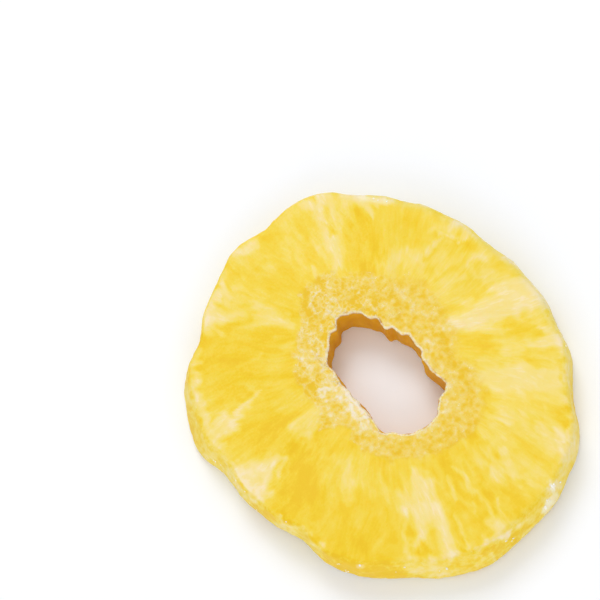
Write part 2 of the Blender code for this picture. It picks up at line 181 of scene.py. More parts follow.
# Wet golden flesh between them, which takes dryness away
WET_STROKES = (
    (326, 212, 331, 232, 7, 8, 32), (368, 212, 365, 262, 28, 16, 18), (410, 212, 402, 240, 18, 5),
    (448, 250, 472, 246, 14, 12, 16), (300, 344, 205, 350, 34, 44, 15), (300, 382, 220, 388, 20, 30, 14),
    (243, 306, 246, 322, 6, 10), (262, 222, 300, 282, 22, 8), (298, 448, 290, 505, 26, 32, 26),
    (318, 495, 312, 516, 14, 14), (324, 428, 312, 446, 14, 10), (276, 420, 260, 452, 18, 14, 22),
    (274, 472, 270, 484, 4, 10), (228, 362, 240, 368, 12, 10, 14), (314, 460, 310, 500, 10, 14),
    (326, 500, 324, 522, 10, 10), (350, 505, 372, 560, 42, 50, 18), (334, 560, 362, 571, 14, 32),
    (368, 574, 402, 577, 12, 10, 32), (310, 528, 318, 534, 8, 16), (404, 524, 412, 534, 8, 20),
    (432, 530, 440, 546, 5, 6, 14), (454, 516, 462, 538, 5, 6, 14), (340, 446, 350, 452, 14, 12, 10),
    (386, 510, 392, 540, 9, 10, 16), (382, 462, 378, 482, 12, 12), (466, 466, 476, 496, 5, 6, 14),
    (484, 514, 490, 520, 8, 20), (508, 480, 528, 486, 8, 14), (462, 334, 486, 346, 14, 16),
    (512, 324, 538, 336, 13, 11, 26), (530, 362, 560, 365, 10, 12, 26), (484, 352, 500, 352, 8, 14),
    (482, 388, 494, 414, 10, 22), (460, 420, 474, 436, 14, 12, 26), (468, 436, 472, 462, 6, 14),
    (440, 452, 456, 478, 16, 14, 22), (455, 482, 500, 545, 26, 30, 18), (505, 484, 546, 516, 14, 20, 17),
    (560, 416, 568, 424, 8, 18), (410, 550, 430, 554, 8, 16), (305, 216, 308, 250, 10, 12, 12),
    (331, 255, 332, 272, 6, 12), (352, 212, 352, 236, 6, 12), (362, 270, 370, 280, 12, 14),
    (566, 386, 570, 412, 9, 16), (562, 362, 561, 376, 8, 16), (396, 480, 399, 492, 6, 14),
    (410, 546, 413, 554, 5, 18), (463, 540, 468, 550, 6, 20), (534, 456, 545, 464, 10, 14),
    (452, 446, 456, 452, 8, 10), (285, 425, 230, 440, 24, 7), (326, 222, 332, 228, 6, 10),
    (328, 256, 334, 270, 8, 8), (364, 272, 372, 278, 9, 10), (566, 388, 572, 412, 6, 16),
    (562, 360, 562, 378, 7, 12), (300, 452, 312, 484, 14, 8), (376, 462, 386, 478, 10, 8),
    (428, 466, 432, 478, 7, 12), (276, 508, 286, 520, 8, 14), (408, 544, 413, 556, 6, 12),
    (452, 546, 468, 550, 5, 14), (504, 541, 510, 537, 5, 16), (466, 428, 470, 432, 8, 14),
    (482, 402, 496, 398, 6, 10), (484, 488, 494, 504, 8, 10), (283, 310, 288, 318, 7, 14),
    (440, 212, 450, 216, 6, 14), (500, 455, 514, 464, 6, 12), (240, 256, 242, 268, 7, 8),
    (207, 426, 210, 434, 7, 10), (462, 566, 490, 555, 7, 24), (490, 555, 511, 539, 7, 24),
    (511, 539, 531, 522, 7, 6, 20), (352, 573, 404, 575, 12, 46), (336, 568, 352, 573, 9, 10, 20),
    (254, 507, 263, 515, 7, 20), (310, 440, 300, 462, 10, 12), (340, 454, 352, 462, 9, 12),
    (380, 464, 396, 482, 14, 12), (526, 314, 544, 322, 8, 14), (564, 352, 562, 380, 6, 12),
    (570, 390, 574, 412, 6, 12), (476, 262, 480, 272, 7, 18), (502, 540, 508, 540, 5, 14),
    (514, 496, 518, 510, 5, 6, 12), (408, 548, 412, 558, 5, 12), (428, 262, 434, 280, 7, 10),
    (230, 268, 236, 276, 8, 12), (268, 262, 262, 270, 8, 8), (468, 420, 472, 436, 8, 10),
    (464, 346, 474, 356, 8, 8), (524, 356, 536, 366, 8, 8), (242, 318, 232, 332, 10, 10),
    (304, 292, 306, 312, 6, 10), (262, 388, 266, 394, 7, 12), (236, 300, 282, 298, 5, 10),
    (466, 248, 446, 266, 5, 12), (456, 551, 472, 548, 6, 20), (420, 552, 430, 556, 8, 26),
    (426, 256, 432, 246, 7, 20), (240, 402, 250, 397, 6, 16), (324, 222, 332, 226, 7, 18),
    (362, 276, 374, 272, 8, 14), (570, 392, 575, 416, 6, 14), (552, 312, 558, 324, 6, 12),
    (462, 424, 474, 432, 9, 10), (278, 514, 288, 526, 7, 16), (300, 520, 308, 530, 8, 12),
    (352, 506, 346, 546, 10, 10), (322, 560, 350, 572, 10, 16), (380, 577, 404, 578, 6, 24),
    (456, 512, 466, 536, 10, 10), (478, 480, 486, 500, 8, 10), (491, 496, 497, 504, 7, 12),
    (510, 498, 516, 510, 6, 12), (310, 470, 335, 540, 80, 5), (228, 366, 260, 372, 18, 14, 8),
    (488, 554, 500, 549, 6, 22), (448, 446, 460, 452, 8, 12), (306, 262, 314, 266, 8, 10),
    (256, 482, 262, 494, 8, 14), (326, 428, 314, 440, 10, 12), (284, 426, 294, 416, 6, 12),
    (514, 334, 522, 340, 7, 12), (494, 324, 502, 326, 7, 12), (204, 372, 200, 380, 8, 12),
    (204, 408, 214, 414, 7, 12), (300, 228, 304, 240, 7, 8), (350, 222, 348, 236, 7, 12),
    (378, 252, 384, 262, 8, 10), (536, 420, 552, 428, 8, 10), (326, 488, 332, 498, 8, 10),
    (414, 502, 424, 512, 8, 10), (254, 507, 264, 516, 6, 34), (277, 514, 289, 525, 6, 30),
    (326, 566, 352, 574, 10, 26), (352, 574, 404, 579, 8, 34), (486, 556, 502, 548, 6, 28),
    (504, 540, 510, 536, 5, 20), (570, 390, 575, 418, 6, 20), (552, 312, 558, 326, 6, 16),
    (282, 300, 292, 316, 9, 10), (236, 330, 246, 322, 8, 12), (364, 274, 374, 278, 7, 12),
    (378, 248, 382, 262, 7, 10), (240, 402, 248, 398, 6, 14), (284, 428, 298, 412, 7, 10),
    (464, 424, 472, 434, 8, 14), (530, 405, 542, 408, 7, 12), (562, 362, 572, 376, 8, 14),
    (284, 468, 292, 502, 14, 10), (268, 500, 282, 512, 10, 14), (426, 468, 434, 482, 7, 12),
    (444, 490, 448, 502, 7, 10), (484, 496, 492, 506, 7, 10), (478, 398, 486, 404, 7, 8),
    (528, 350, 536, 355, 7, 8), (456, 442, 466, 456, 7, 12), (430, 208, 446, 214, 9, 10),
    (428, 268, 434, 276, 7, 10), (468, 458, 484, 482, 7, 10), (418, 554, 428, 558, 7, 16),
    (462, 548, 472, 549, 5, 16), (254, 506, 264, 517, 6, 28), (277, 514, 290, 527, 6, 26),
    (326, 562, 352, 572, 13, 12, 18), (352, 577, 406, 580, 7, 26), (489, 558, 503, 550, 7, 30),
    (465, 424, 472, 432, 10, 14), (362, 274, 377, 278, 10, 14), (310, 262, 314, 266, 9, 16),
    (325, 222, 330, 228, 8, 14), (205, 366, 262, 376, 22, 18, 7), (208, 394, 262, 392, 14, 12, 7),
    (236, 328, 248, 322, 8, 12), (484, 444, 484, 453, 9, 12), (491, 498, 498, 512, 9, 14),
    (509, 498, 517, 514, 6, 10), (354, 506, 342, 550, 14, 8), (288, 468, 294, 505, 16, 8),
    (282, 502, 298, 526, 12, 10, 10), (300, 452, 316, 470, 14, 12, 7), (520, 450, 542, 462, 14, 12, 8),
    (571, 390, 575, 420, 7, 14), (553, 312, 559, 326, 7, 12), (470, 350, 482, 354, 9, 10),
    (404, 542, 408, 552, 6, 10), (448, 568, 457, 574, 7, 12), (410, 566, 424, 572, 9, 14),
    (378, 236, 380, 256, 8, 8), (456, 238, 466, 246, 7, 14), (436, 216, 440, 232, 8, 10),
    (282, 286, 290, 298, 10, 8, 10),
)

# The crumbly band: the sides of the picture where its border is softest and where it is laciest, and how far
# it reaches round the hole on the underside
BAND_SOFT_SIDE_DEG = 50.0
BAND_LACY_SIDE_DEG = 165.0
UNDER_BAND_MM = 6.2
# Its outer border as (angle, distance) in picture pixels about the hole's middle
CRUST_PIXEL = (386.0, 374.0)
CRUST_BORDER = (
    (0, 92), (15, 74), (30, 78), (45, 86), (62, 96), (78, 97), (95, 96), (110, 103), (125, 120), (135, 116),
    (150, 100), (165, 92), (180, 92), (192, 86), (205, 74), (213, 84), (219, 84), (228, 70), (236, 66),
    (243, 73), (252, 80), (270, 84), (288, 88), (305, 96), (322, 104), (335, 104), (348, 98),
)
CRUST_FRAYING = ((11.0, 3.5), (4.5, 1.8))
CURL_FRAYING = ((4.0, 0.8),)
# Curls of dried syrup on the band: each a line through picture pixels, its width, its strength in hundredths
CURLS = (
    (((314, 296), (311, 300), (311, 305), (314, 311)), 2.2, 70),
    (((314, 296), (320, 291), (327, 295), (326, 303)), 1.8, 70),
    (((330, 300), (326, 308), (333, 313), (340, 308), (336, 301), (330, 300)), 1.6, 60),
    (((341, 296), (347, 303), (345, 311), (352, 313)), 1.6, 50),
    (((360, 309), (367, 301), (375, 310), (372, 316)), 2.0, 80),
    (((303, 330), (299, 336), (303, 342), (310, 339)), 1.6, 50),
    (((298, 348), (303, 352), (300, 359), (306, 363)), 1.6, 40),
    (((311, 350), (317, 355), (313, 362)), 1.6, 40),
    (((322, 382), (326, 380), (331, 380), (336, 382), (341, 381)), 2.2, 70),
    (((317, 395), (317, 391), (321, 388), (327, 388), (331, 391), (335, 391), (338, 387)), 2.6, 90),
    (((317, 396), (320, 400), (326, 402), (332, 401), (337, 397)), 2.2, 50),
    (((341, 381), (344, 384), (346, 390), (347, 396), (353, 401), (359, 407), (365, 412)), 3.0, 80),
    (((351, 405), (352, 409), (354, 412)), 3.2, 100),
    (((365, 412), (369, 416), (372, 421)), 2.6, 80),
    (((361, 419), (364, 417), (368, 419), (369, 423), (366, 426), (362, 425), (361, 419)), 1.8, 60),
    (((355, 418), (357, 424), (361, 428), (366, 430)), 2.0, 40),
    (((392, 443), (400, 447), (408, 444)), 1.5, 30),
    (((439, 400), (446, 405), (444, 412)), 1.6, 40),
    (((447, 423), (456, 423), (463, 428), (466, 436)), 1.4, 45),
    (((424, 330), (431, 335), (428, 342)), 1.4, 30),
    (((398, 312), (405, 309), (411, 314)), 1.4, 30),
)
# Where the band is driest and lumpiest, or less than zero where it is wetter, as the dry streaks are given
CRUST_LUMPS = (
    (324, 393, 342, 393, 13, 18, 46), (324, 384, 340, 386, 5, 8, 26), (346, 400, 366, 425, 18, 15, 50),
    (342, 300, 380, 302, 16, -14), (314, 292, 308, 304, 6, 8), (306, 358, 316, 370, 12, 14, 26),
    (322, 302, 330, 308, 8, 10), (368, 304, 374, 312, 6, 10), (404, 302, 416, 322, 14, 12, 14),
    (426, 340, 432, 366, 8, 16), (444, 322, 450, 332, 12, 12), (445, 380, 462, 388, 10, 12, 14),
    (446, 398, 452, 420, 8, 10, 16), (372, 446, 392, 452, 10, 12, 16), (300, 378, 334, 386, 14, -16),
    (304, 290, 306, 312, 8, -16), (354, 292, 358, 308, 8, -10), (326, 326, 328, 346, 8, -14),
    (383, 432, 400, 436, 8, -12), (380, 447, 412, 450, 14, -10), (412, 332, 418, 338, 8, -12),
    (442, 345, 448, 352, 8, -10), (306, 414, 338, 424, 16, 18), (350, 418, 362, 430, 10, 22),
    (318, 302, 320, 306, 5, 10), (312, 362, 318, 366, 6, 10), (316, 405, 336, 408, 8, 10),
    (304, 380, 330, 392, 12, -14), (300, 288, 314, 294, 10, -12), (354, 300, 360, 310, 8, -12),
    (368, 308, 373, 314, 6, -14), (325, 336, 329, 346, 7, -12), (382, 428, 398, 434, 8, -14),
    (348, 418, 360, 430, 9, 16), (308, 424, 312, 440, 7, 10), (314, 358, 318, 366, 6, 12),
    (406, 320, 414, 324, 6, 10), (424, 346, 430, 368, 7, 10), (342, 416, 358, 432, 9, 10, 24),
    (324, 396, 334, 420, 9, 16), (306, 358, 318, 366, 8, 16), (338, 290, 350, 296, 8, 14),
    (316, 298, 320, 306, 7, 16), (404, 318, 414, 324, 7, 12), (432, 346, 434, 356, 6, 12),
    (446, 358, 454, 362, 7, 12), (442, 414, 446, 424, 7, 10), (372, 452, 380, 454, 6, 14),
    (390, 446, 394, 452, 6, 14), (324, 336, 330, 350, 7, -16), (366, 306, 374, 314, 6, -12),
    (350, 302, 358, 310, 6, -12), (386, 300, 392, 312, 6, -12), (404, 446, 414, 452, 8, -12),
    (440, 344, 448, 350, 8, -12), (452, 444, 456, 456, 8, -12), (300, 292, 310, 312, 12, -16),
    (358, 294, 368, 298, 8, -14), (324, 338, 330, 352, 8, -14), (306, 338, 312, 346, 7, -12),
    (318, 312, 330, 306, 6, -10), (344, 304, 350, 308, 6, -10), (368, 310, 374, 314, 6, -12),
    (304, 384, 316, 396, 12, -14), (294, 364, 300, 370, 8, -12), (344, 416, 356, 428, 7, 16),
    (322, 410, 328, 420, 7, 12), (352, 434, 358, 438, 7, 12), (446, 358, 454, 362, 7, 10),
    (404, 322, 412, 318, 6, 10), (434, 444, 442, 452, 7, 12), (394, 302, 400, 304, 5, 12),
    (300, 288, 314, 294, 9, -14), (326, 330, 331, 350, 7, -16), (350, 296, 356, 310, 6, -12),
    (366, 310, 374, 316, 6, -12), (386, 302, 394, 312, 6, -12), (410, 330, 420, 338, 6, -14),
    (306, 382, 320, 396, 10, -12), (382, 430, 398, 438, 7, -14), (434, 372, 444, 380, 6, -14),
    (436, 316, 444, 326, 8, 14), (394, 302, 402, 304, 6, 12), (430, 344, 436, 358, 6, 12),
    (424, 364, 430, 368, 5, 12), (446, 360, 456, 362, 7, 12), (374, 320, 382, 322, 4, 16),
    (314, 360, 320, 366, 6, 12), (328, 404, 336, 408, 6, 12), (322, 412, 328, 422, 6, 12),
    (344, 418, 358, 428, 8, 14), (374, 452, 382, 456, 6, 12), (424, 442, 440, 454, 7, 10),
    (442, 446, 458, 436, 7, 10), (298, 288, 306, 314, 14, -10), (325, 336, 331, 352, 8, -14),
    (355, 302, 360, 310, 7, -12), (364, 290, 372, 296, 9, -10), (442, 343, 448, 350, 8, -12),
    (438, 364, 446, 372, 7, -10), (316, 372, 334, 386, 9, -10), (408, 330, 418, 338, 7, -12),
    (360, 448, 374, 462, 9, -10), (403, 444, 412, 452, 7, -10), (322, 412, 330, 424, 9, 18),
    (346, 414, 360, 430, 9, 16), (352, 438, 364, 430, 8, 14), (310, 360, 321, 366, 6, 14),
    (303, 370, 312, 378, 7, 12), (373, 318, 383, 322, 5, 16), (436, 316, 446, 326, 8, 10),
    (442, 338, 462, 332, 6, 12), (328, 394, 340, 388, 6, 14), (374, 456, 384, 452, 6, 12),
    (390, 446, 396, 453, 6, 12),
)

# Clusters of sugar grains on the rim in picture pixels: (x, y, spread, grains)
SUGAR_CLUSTERS = (
    (553.0, 486.5, 1.8, 9), (549.5, 500.0, 2.6, 7), (545.5, 508.0, 1.4, 5), (561.0, 482.0, 1.2, 2),
    (512.0, 541.0, 2.0, 2), (506.0, 541.0, 1.2, 1), (359.0, 565.5, 1.0, 3), (346.0, 570.5, 1.8, 3),
    (404.0, 567.0, 1.4, 3), (446.5, 569.0, 1.6, 3), (376.0, 200.5, 2.4, 3), (386.0, 202.0, 1.4, 1),
)
# Where finer sugar lies as a white bloom, in the same way as the dry streaks
SUGAR_BLOOM = (
    (552, 485, 554, 489, 4, 5, 90), (549, 481, 551, 484, 3, 4, 40), (547, 489, 551, 490, 3, 4, 40),
    (555, 496, 549, 503, 7, 50), (549, 503, 545, 511, 6, 5, 46), (545, 507, 545, 509, 3, 40),
    (362, 198, 386, 202, 6, 5, 35), (358, 566, 362, 566, 3, 30), (546, 512, 552, 502, 6, 34),
    (557, 483, 559, 487, 5, 40),
)
# How many grains and crumbs, from what size to what size, how far each is sunk and half its thickness as
# shares of its size, and how far they tilt, in radians. The grains strewn all round the rim are smaller.
RIM_GRAINS = 40
RIM_GRAIN_SHARE = 0.75
GRAIN_SIZES_MM = (0.28, 0.50)
GRAIN_SUNK = 0.28
CRUST_CRUMBS = 460
LIP_CRUMBS = 240
CRUMB_SIZES_MM = (0.18, 0.38)
CRUMB_SUNK = 0.40
HALF_THICK = 0.32
TILT = 0.45


def colour(hex_code):
    """An sRGB hex value as the linear colour that Blender mixes."""
    parts = [int(hex_code[at : at + 2], 16) / 255 for at in (1, 3, 5)]
    linear = [part / 12.92 if part <= 0.04045 else ((part + 0.055) / 1.055) ** 2.4 for part in parts]
    return (*linear, 1.0)


def put(tree, kind, settings=None, links=None, stops=(), out=0):
    """Adds a node, sets its properties, sockets and colour stops, links sources in, and gives one output."""
    node = tree.nodes.new(kind)
    for name, value in (settings or {}).items():
        if isinstance(name, str) and hasattr(node, name):
            setattr(node, name, value)
        else:
            node.inputs[name].default_value = value
    for name, source in (links or {}).items():
        tree.links.new(source, node.inputs[name])
    for at, (position, hex_code) in enumerate(stops):
        line = node.color_ramp.elements
        stop = line[at] if at < len(line) else line.new(position)
        stop.position = position
        stop.color = colour(hex_code)
    return node.outputs[out]


def new_material(name, finish):
    """A material with nodes and that finish on its shader, its tree and its shader."""
    material = bpy.data.materials.new(name)
    material.use_nodes = True
    shader = material.node_tree.nodes["Principled BSDF"]
    for socket, value in finish.items():
        shader.inputs[socket].default_value = value
    return material, material.node_tree, shader


def camera_axes():
    """Unit vectors to the camera's right, up and back."""
    roll = math.radians(CAMERA_ROLL_DEG)
    back = towards(CAMERA_SIDE_DEG, CAMERA_HEIGHT_DEG)
    level = Vector((0.0, 0.0, 1.0)).cross(back).normalized()
    steep = back.cross(level)
    right = math.cos(roll) * level - math.sin(roll) * steep
    up = math.sin(roll) * level + math.cos(roll) * steep
    return right, up, back


def camera_place():
    """Where the camera stands, so that the middle of the slice falls on its place in the picture."""
    right, up, back = camera_axes()
    focal = LENS_MM / SENSOR_MM * PICTURE
    distance = focal / PIXELS_PER_MM * MM
    across = (SLICE_PIXEL[0] - PICTURE / 2) / focal * distance
    down = (SLICE_PIXEL[1] - PICTURE / 2) / focal * distance
    return SLICE_MIDDLE + back * distance - right * across + up * down


def picture_points(points):
    """Where an array of points falls in the picture, in pixels, y down."""
    right, up, back = (np.array(axis) for axis in camera_axes())
    focal = LENS_MM / SENSOR_MM * PICTURE
    offset = points - np.array(camera_place())
    depth = -(offset @ back)
    x = PICTURE / 2 + focal * (offset @ right) / depth
    y = PICTURE / 2 - focal * (offset @ up) / depth
    return np.stack([x, y], axis=-1)


def stand_camera():
    """A long lens above the front of the slice."""
    data = bpy.data.cameras.new("studio_camera")
    data.lens = LENS_MM
    data.sensor_width = SENSOR_MM
    data.clip_start = 0.01
    data.dof.use_dof = False
    camera = bpy.data.objects.new("studio_camera", data)
    bpy.context.scene.collection.objects.link(camera)
    place = Matrix(camera_axes()).transposed().to_4x4()
    place.translation = camera_place()
    camera.matrix_world = place
    bpy.context.scene.camera = camera


def towards(side_deg, height_deg):
    """Unit vector from the slice to that side and height."""
    side = math.radians(side_deg)
    height = math.radians(height_deg)
    return Vector((math.cos(side) * math.cos(height), math.sin(side) * math.cos(height), math.sin(height)))


def hang_light(name, side_deg, height_deg, distance, size, watts):
    """A square softbox that faces the slice from that side and height."""
    data = bpy.data.lights.new(name, "AREA")
    data.size = size
    data.energy = watts
    light = bpy.data.objects.new(name, data)
    bpy.context.scene.collection.objects.link(light)
    way = towards(side_deg, height_deg)
    light.location = SLICE_MIDDLE + way * distance
    light.rotation_mode = "QUATERNION"
    light.rotation_quaternion = way.to_track_quat("Z", "Y")


def light_studio():
    """A white tent of even light, a softbox behind the slice for relief and a low one before it."""
    world = bpy.data.worlds.new("white_tent")
    bpy.context.scene.world = world
    world.use_nodes = True
    tent = world.node_tree.nodes["Background"]
    tent.inputs["Color"].default_value = colour("#ffffff")
    tent.inputs["Strength"].default_value = 0.75
    hang_light("relief_softbox", side_deg=62.0, height_deg=50.0, distance=0.9, size=0.40, watts=2.6)
    hang_light("front_softbox", side_deg=-128.0, height_deg=26.0, distance=0.9, size=0.70, watts=2.0)
    view = bpy.context.scene.view_settings
    view.view_transform = "Standard"
    view.look = "None"
    view.exposure = 0.0
    view.gamma = 1.0


def lay_floor():
    """Pale table top of matt white paper, which shows soft shadows and no gloss."""
    bpy.ops.object.select_all(action="DESELECT")
    bpy.ops.mesh.primitive_plane_add(size=TABLE_SIZE, location=(0.0, 0.0, -TABLE_DROP))
    floor = bpy.context.active_object
    floor.name = "table_top"
    floor.data.name = "table_top"
    finish = {"Base Color": colour("#f8faff"), "Roughness": 0.9, "Specular IOR Level": 0.2}
    floor.data.materials.append(new_material("matt_white_paper", finish)[0])


def smooth(low, high, value):
    """0 below low, 1 above high, and an easy step between them."""
    share = np.clip((value - low) / (high - low), 0.0, 1.0)
    return share * share * (3.0 - 2.0 * share)


def lumps(points, size, seed=0):
    """Smooth noise of about -0.7 to 0.7 at each point, with lumps of that size."""
    shift = Vector((3.1, 7.7, 1.9)) * seed
    return np.array([noise.noise(Vector(point) / size + shift) for point in points])


def ridges(points, size, sharpness, seed=0):
    """Thin winding lines of 1 on a field of 0, about as far apart as the size."""
    return np.clip(1.0 - sharpness * np.abs(lumps(points, size, seed)), 0.0, 1.0)


def granules(points, size):
    """Rounded bumps of that size, 1 at their middles and about 0 between them."""
    nearest = np.array([noise.voronoi(Vector(point) / size)[0][0] for point in points])
    return np.clip(1.0 - 1.3 * nearest, 0.0, 1.0)


def frayed_pixels(pixels, fraying):
    """Picture places pushed about by noise, so that what is painted there gets a ragged edge."""
    flat = np.concatenate([pixels, np.zeros((len(pixels), 1))], axis=1)
    moved = pixels.copy()
    for seed, (size, reach) in enumerate(fraying):
        moved[:, 0] += 2.0 * reach * lumps(flat, size, 2 * seed + 1)
        moved[:, 1] += 2.0 * reach * lumps(flat, size, 2 * seed + 2)
    return moved


def frayed_bundles(pixels, paths):
    """Picture places pushed to and fro along the fibres, each bundle of them by its own length."""
    away = pixels - picture_points(np.array([FIBRE_MIDDLE + Vector((0.0, 0.0, SLICE_MIDDLE.z))]))
    along = away / np.linalg.norm(away, axis=1)[:, None]
    push = np.zeros(len(pixels))
    for seed, (width, reach) in enumerate(BUNDLE_FRAYING):
        push += 2.0 * reach * lumps(paths * np.array((1.0, 1.0, 0.12)), width, 20 + seed)
    return pixels + along * push[:, None]


def painted(pixels, strokes):
    """What the strokes add at each picture place, each fading over its outer part."""
    cover = np.zeros(len(pixels))
    for x0, y0, x1, y1, *widths, hundredths in strokes:
        start = np.array((x0, y0), float)
        along = np.array((x1, y1), float) - start
        share = np.clip((pixels - start) @ along / (along @ along), 0.0, 1.0)
        gap = np.linalg.norm(pixels - start - share[:, None] * along, axis=1)
        half = (widths[0] + (widths[-1] - widths[0]) * share) / 2
        fade = smooth(STROKE_WHOLE * half, STROKE_GONE * half + STROKE_BLUR, gap)
        stroke = hundredths / 100 * (1.0 - fade)
        cover = cover + stroke * (1.0 - OVERLAP_LOSS * np.minimum(cover / FULL_COVER, 1.0))
    return cover


def curled(pixels):
    """How strongly the curls of dried syrup cover each picture place."""
    strokes = [
        (*start, *end, width, hundredths)
        for line, width, hundredths in CURLS
        for start, end in zip(line, line[1:])
    ]
    return np.minimum(painted(pixels, strokes), 1.0)


def crust_reach(pixels):
    """How far inside the band's border each place is in picture pixels, and its softness and lace there."""
    offset = pixels - np.array(CRUST_PIXEL)
    angle = np.degrees(np.arctan2(-offset[:, 1], offset[:, 0])) % 360
    table = np.array(CRUST_BORDER + ((CRUST_BORDER[0][0] + 360, CRUST_BORDER[0][1]),), float)
    softness = 3.5 + 7.0 * smooth(-0.1, 0.9, np.cos(np.radians(angle - BAND_SOFT_SIDE_DEG)))
    lacy = 0.25 + 0.75 * smooth(-0.2, 0.7, np.cos(np.radians(angle - BAND_LACY_SIDE_DEG)))
    reach = np.interp(angle, table[:, 0], table[:, 1]) - np.linalg.norm(offset, axis=1)
    return reach, softness, lacy


def fibre_paths(points):
    """Runs round the slice in x and y, and along the fibres and down the walls in z, in millimetres."""
    away = points[:, :2] - np.array(FIBRE_MIDDLE)[:2]
    flat = points * np.array((1.0, 1.0, 0.0))
    turn = np.arctan2(away[:, 1], away[:, 0]) + FIBRE_SWAY * lumps(flat, FIBRE_SWAY_PITCH)
    reach = (np.linalg.norm(away, axis=1) - 2.0 * points[:, 2]) / MM
    return np.stack([FIBRE_ARC_MM * np.cos(turn), FIBRE_ARC_MM * np.sin(turn), reach], axis=-1)


def make_active(piece):
    """Selects that piece and nothing else."""
    bpy.ops.object.select_all(action="DESELECT")
    piece.select_set(True)
    bpy.context.view_layer.objects.active = piece


def slice_mesh():
    """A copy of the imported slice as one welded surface, with each face split in four and in four again."""
    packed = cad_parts["pineapple_ring"]
    piece = bpy.data.objects.new("pineapple_slice", packed.data.copy())
    bpy.context.scene.collection.objects.link(piece)
    make_active(piece)
    bpy.ops.object.mode_set(mode="EDIT")
    bpy.ops.mesh.select_all(action="SELECT")
    bpy.ops.mesh.remove_doubles(threshold=WELD)
    bpy.ops.mesh.tris_convert_to_quads(face_threshold=math.radians(60), shape_threshold=math.radians(60))
    bpy.ops.object.mode_set(mode="OBJECT")
    finer = piece.modifiers.new("finer", "SUBSURF")
    finer.levels = 2
    finer.render_levels = 2
    bpy.ops.object.modifier_apply(modifier="finer")
    bpy.ops.object.shade_smooth()
    return piece


def mesh_arrays(mesh):
    """The points of a mesh and their normals."""
    points = np.zeros(len(mesh.vertices) * 3)
    normals = np.zeros(len(mesh.vertices) * 3)
    mesh.vertices.foreach_get("co", points)
    mesh.vertices.foreach_get("normal", normals)
    return points.reshape(-1, 3), normals.reshape(-1, 3)


def survey(points, normals):
    """What lies where on the slice: distances from its edges, and shares of each wall."""
    away = points[:, :2] - np.array(HOLE_MIDDLE)[:2]
    radius = np.linalg.norm(away, axis=1)
    degree = (np.degrees(np.arctan2(away[:, 1], away[:, 0])) % 360).astype(int)
    hole = np.array([radius[degree == at].min() for at in range(360)])
    rim = np.array([radius[degree == at].max() for at in range(360)])
    land = {
        "from_hole": (radius - hole[degree]) / MM,
        "from_rim": (rim[degree] - radius) / MM,
        "upward": normals[:, 2],
        "pixels": picture_points(points),
        "paths": fibre_paths(points),
    }
    land["shown"] = land["upward"] > -0.1
    by_hole = land["from_hole"] < BORE_REACH_MM
    top = np.array([points[by_hole & (degree == at), 2].max() for at in range(360)])
    land["drop"] = (top[degree] - points[:, 2]) / MM
    above = (land["from_hole"] < LIP_REACH_MM) & (land["drop"] < LIP_DROP_MM)
    edge = np.array([radius[above & (degree == at)].min() for at in range(360)])
    land["from_lip"] = (radius - edge[degree]) / MM
    steep = np.linalg.norm(normals[:, :2], axis=1)
    turned = land["pixels"] - np.array(SLICE_PIXEL)
    side = np.arctan2(-turned[:, 1], turned[:, 0])
    land["sunny"] = np.cos(side - math.radians(RIM_LIT_SIDE_DEG))
    # Where the rim's edge gets its greyer strip of painted shade
    land["tanned"] = smooth(0.55, 0.85, np.cos(side - math.radians(RIM_SHADE_SIDE_DEG)))
    land["bore"] = smooth(0.4, 0.8, steep) * (land["from_lip"] < BORE_REACH_MM)
    land["wall"] = smooth(0.25, 0.75, steep) * (land["from_rim"] < RIM_WALL_REACH_MM)
    return land


def dryness_and_light(points, land):
    """How dry the flesh is at each point, with painted light and shade on the rim and wall by the sunny side:
    painted where the picture shows it, and by rule below.
    """
    pixels = frayed_bundles(frayed_pixels(land["pixels"], PATCH_FRAYING), land["paths"])
    dry = PLAIN_DRYNESS + painted(pixels, DRY_STROKES) - painted(pixels, WET_STROKES)
    dry = dry + painted(land["pixels"], EDGE_STROKES)
    # The top edge of the rim is paler all round, and paler still towards the sunny side as painted light
    sunny = land["sunny"]
    edge = (0.10 + 0.26 * smooth(0.2, 0.9, sunny)) * (1.0 - smooth(0.3, 3.4, land["from_rim"]))
    edge = edge * (0.9 + lumps(points, 3.0 * MM, 9))
    dry = dry + edge * (1.0 - land["wall"])
    # The wall is mottled by the ends of the fibres, painted paler at its top on the sunny side as painted
    # light, and more golden opposite as painted shade
    mottled = PLAIN_DRYNESS + 0.50 * lumps(points, 3.0 * MM, 4) + 0.40 * lumps(points, 1.2 * MM, 5)
    dry = dry + 0.4 * land["wall"] * (mottled - 0.06 - dry)
    dry = dry + 0.26 * land["wall"] * smooth(0.1, 0.6, sunny) * (1.0 - smooth(1.0, 5.0, land["drop"]))
    dry = dry - 0.10 * land["wall"] * (1.0 - smooth(-0.9, -0.1, sunny))
    # The underside has broad streaks along its fibres
    along = land["paths"] * np.array((1.0, 1.0, 0.3))
    under = PLAIN_DRYNESS + 0.05 + 0.75 * lumps(along, 7.0, 3)
    return np.where(land["shown"], dry, under)


